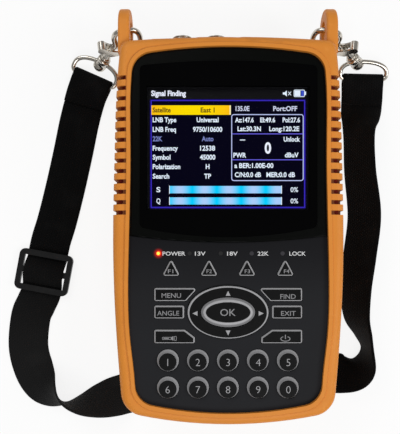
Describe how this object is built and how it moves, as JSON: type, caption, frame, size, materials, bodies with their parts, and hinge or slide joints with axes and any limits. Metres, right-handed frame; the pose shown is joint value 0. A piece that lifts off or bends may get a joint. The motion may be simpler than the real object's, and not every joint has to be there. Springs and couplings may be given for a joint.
{
  "type": "handheld satellite signal meter",
  "caption": "Handheld satellite signal meter with lit colour screen and keypad in a rubber boot, with a webbing shoulder strap on swivel snap hooks.",
  "frame": {"origin": "centre of the back rest face, the meter lying on its back", "axes": "+Z out of the screen and keypad, +Y towards the end with the strap ears, +X to the right"},
  "size_m": [0.1908, 0.193, 0.042],
  "materials": {
    "boot_rubber": "satin",
    "case_black": "matt",
    "lens_black": "gloss",
    "screen": "lit screen",
    "key_grey": "matt",
    "mat_rubber": "matt",
    "board_green": "satin",
    "dome_steel": "satin",
    "tin_plate": "satin",
    "nickel": "bright",
    "screw_steel": "satin",
    "jack_black": "matt",
    "clear_lens": "clear",
    "led_red": "lit",
    "led_smoke": "gloss",
    "battery_wrap": "shrink wrap",
    "speaker_black": "matt",
    "webbing": "woven",
    "slider_black": "moulded",
    "clasp_metal": "plated casting"
  },
  "bodies": {
    "meter": {"protective_boot": "boot_rubber", "front_case": "case_black", "rear_case": "case_black", "battery_cover": "case_black", "battery_cover_screws": "screw_steel", "case_screws": "screw_steel", "screen_lens": "lens_black", "lcd_panel": "screen", "lcd_frame": "tin_plate", "keypad_mat": "mat_rubber", "keypad_board": "board_green", "keypad_board_screws": "screw_steel", "dome_switches": "dome_steel", "main_board": "board_green", "main_board_screws": "screw_steel", "tuner_can": "tin_plate", "lnb_input_connector": "nickel", "lnb_loop_connector": "nickel", "connector_nuts": "nickel", "dc_jack": "jack_black", "av_jack": "jack_black", "usb_socket": "tin_plate", "torch_lens": "clear_lens", "power_led_lens": "led_red", "status_led_lenses": "led_smoke", "battery_pack": "battery_wrap", "speaker": "speaker_black", "shoulder_strap": "webbing", "strap_slider": "slider_black", "left_d_loop": "clasp_metal", "right_d_loop": "clasp_metal"},
    "f1_key_body": {"f1_key": "key_grey"},
    "f2_key_body": {"f2_key": "key_grey"},
    "f3_key_body": {"f3_key": "key_grey"},
    "f4_key_body": {"f4_key": "key_grey"},
    "menu_key_body": {"menu_key": "key_grey"},
    "find_key_body": {"find_key": "key_grey"},
    "angle_key_body": {"angle_key": "key_grey"},
    "exit_key_body": {"exit_key": "key_grey"},
    "torch_key_body": {"torch_key": "key_grey"},
    "power_key_body": {"power_key": "key_grey"},
    "digit_key_1_body": {"digit_key_1": "key_grey"},
    "digit_key_2_body": {"digit_key_2": "key_grey"},
    "digit_key_3_body": {"digit_key_3": "key_grey"},
    "digit_key_4_body": {"digit_key_4": "key_grey"},
    "digit_key_5_body": {"digit_key_5": "key_grey"},
    "digit_key_6_body": {"digit_key_6": "key_grey"},
    "digit_key_7_body": {"digit_key_7": "key_grey"},
    "digit_key_8_body": {"digit_key_8": "key_grey"},
    "digit_key_9_body": {"digit_key_9": "key_grey"},
    "digit_key_0_body": {"digit_key_0": "key_grey"},
    "ok_key_body": {"ok_key": "key_grey"},
    "nav_pivot_body": {"nav_pivot": "dome_steel"},
    "nav_ring_body": {"nav_ring": "key_grey"},
    "left_hook_body": {"left_hook": "clasp_metal"},
    "left_trigger_body": {"left_trigger": "clasp_metal"},
    "right_hook_body": {"right_hook": "clasp_metal"},
    "right_trigger_body": {"right_trigger": "clasp_metal"}
  },
  "joints": [
    {"name": "f1_key_press", "type": "slide", "parent": "meter", "child": "f1_key_body", "axis": [0, 0, -1], "range_m": [0, 0.0008], "stiffness_N_per_m": 900},
    {"name": "f2_key_press", "type": "slide", "parent": "meter", "child": "f2_key_body", "axis": [0, 0, -1], "range_m": [0, 0.0008], "stiffness_N_per_m": 900},
    {"name": "f3_key_press", "type": "slide", "parent": "meter", "child": "f3_key_body", "axis": [0, 0, -1], "range_m": [0, 0.0008], "stiffness_N_per_m": 900},
    {"name": "f4_key_press", "type": "slide", "parent": "meter", "child": "f4_key_body", "axis": [0, 0, -1], "range_m": [0, 0.0008], "stiffness_N_per_m": 900},
    {"name": "menu_key_press", "type": "slide", "parent": "meter", "child": "menu_key_body", "axis": [0, 0, -1], "range_m": [0, 0.0008], "stiffness_N_per_m": 900},
    {"name": "find_key_press", "type": "slide", "parent": "meter", "child": "find_key_body", "axis": [0, 0, -1], "range_m": [0, 0.0008], "stiffness_N_per_m": 900},
    {"name": "angle_key_press", "type": "slide", "parent": "meter", "child": "angle_key_body", "axis": [0, 0, -1], "range_m": [0, 0.0008], "stiffness_N_per_m": 900},
    {"name": "exit_key_press", "type": "slide", "parent": "meter", "child": "exit_key_body", "axis": [0, 0, -1], "range_m": [0, 0.0008], "stiffness_N_per_m": 900},
    {"name": "torch_key_press", "type": "slide", "parent": "meter", "child": "torch_key_body", "axis": [0, 0, -1], "range_m": [0, 0.0008], "stiffness_N_per_m": 900},
    {"name": "power_key_press", "type": "slide", "parent": "meter", "child": "power_key_body", "axis": [0, 0, -1], "range_m": [0, 0.0008], "stiffness_N_per_m": 900},
    {"name": "digit_key_1_press", "type": "slide", "parent": "meter", "child": "digit_key_1_body", "axis": [0, 0, -1], "range_m": [0, 0.0008], "stiffness_N_per_m": 900},
    {"name": "digit_key_2_press", "type": "slide", "parent": "meter", "child": "digit_key_2_body", "axis": [0, 0, -1], "range_m": [0, 0.0008], "stiffness_N_per_m": 900},
    {"name": "digit_key_3_press", "type": "slide", "parent": "meter", "child": "digit_key_3_body", "axis": [0, 0, -1], "range_m": [0, 0.0008], "stiffness_N_per_m": 900},
    {"name": "digit_key_4_press", "type": "slide", "parent": "meter", "child": "digit_key_4_body", "axis": [0, 0, -1], "range_m": [0, 0.0008], "stiffness_N_per_m": 900},
    {"name": "digit_key_5_press", "type": "slide", "parent": "meter", "child": "digit_key_5_body", "axis": [0, 0, -1], "range_m": [0, 0.0008], "stiffness_N_per_m": 900},
    {"name": "digit_key_6_press", "type": "slide", "parent": "meter", "child": "digit_key_6_body", "axis": [0, 0, -1], "range_m": [0, 0.0008], "stiffness_N_per_m": 900},
    {"name": "digit_key_7_press", "type": "slide", "parent": "meter", "child": "digit_key_7_body", "axis": [0, 0, -1], "range_m": [0, 0.0008], "stiffness_N_per_m": 900},
    {"name": "digit_key_8_press", "type": "slide", "parent": "meter", "child": "digit_key_8_body", "axis": [0, 0, -1], "range_m": [0, 0.0008], "stiffness_N_per_m": 900},
    {"name": "digit_key_9_press", "type": "slide", "parent": "meter", "child": "digit_key_9_body", "axis": [0, 0, -1], "range_m": [0, 0.0008], "stiffness_N_per_m": 900},
    {"name": "digit_key_0_press", "type": "slide", "parent": "meter", "child": "digit_key_0_body", "axis": [0, 0, -1], "range_m": [0, 0.0008], "stiffness_N_per_m": 900},
    {"name": "ok_key_press", "type": "slide", "parent": "meter", "child": "ok_key_body", "axis": [0, 0, -1], "range_m": [0, 0.0008], "stiffness_N_per_m": 900},
    {"name": "nav_tilt_up_down", "type": "hinge", "parent": "meter", "child": "nav_pivot_body", "pos_m": [-0.0002, -0.037, 0.03505], "axis": [1, 0, 0], "range_deg": [-2.2, 2.2], "stiffness_Nm_per_rad": 0.3},
    {"name": "nav_tilt_left_right", "type": "hinge", "parent": "nav_pivot_body", "child": "nav_ring_body", "pos_m": [-0.0002, -0.037, 0.0372], "axis": [0, 1, 0], "range_deg": [-2.2, 2.2], "stiffness_Nm_per_rad": 0.3},
    {"name": "left_hook_swivel", "type": "hinge", "parent": "meter", "child": "left_hook_body", "pos_m": [-0.06138, 0.08389, 0.0056], "axis": [0.532, 0.3, 0.7918], "range_deg": [-8, 8]},
    {"name": "left_trigger_press", "type": "hinge", "parent": "left_hook_body", "child": "left_trigger_body", "pos_m": [-0.05558, 0.08718, 0.01428], "axis": [0.147, -0.9537, 0.2625], "range_deg": [0, 10], "stiffness_Nm_per_rad": 0.05},
    {"name": "right_hook_swivel", "type": "hinge", "parent": "meter", "child": "right_hook_body", "pos_m": [0.06459, 0.08451, 0.0056], "axis": [-0.613, 0.2609, 0.7458], "range_deg": [-8, 8]},
    {"name": "right_trigger_press", "type": "hinge", "parent": "right_hook_body", "child": "right_trigger_body", "pos_m": [0.05721, 0.08751, 0.01397], "axis": [0.1372, 0.9647, -0.2247], "range_deg": [0, 10], "stiffness_Nm_per_rad": 0.05}
  ]
}
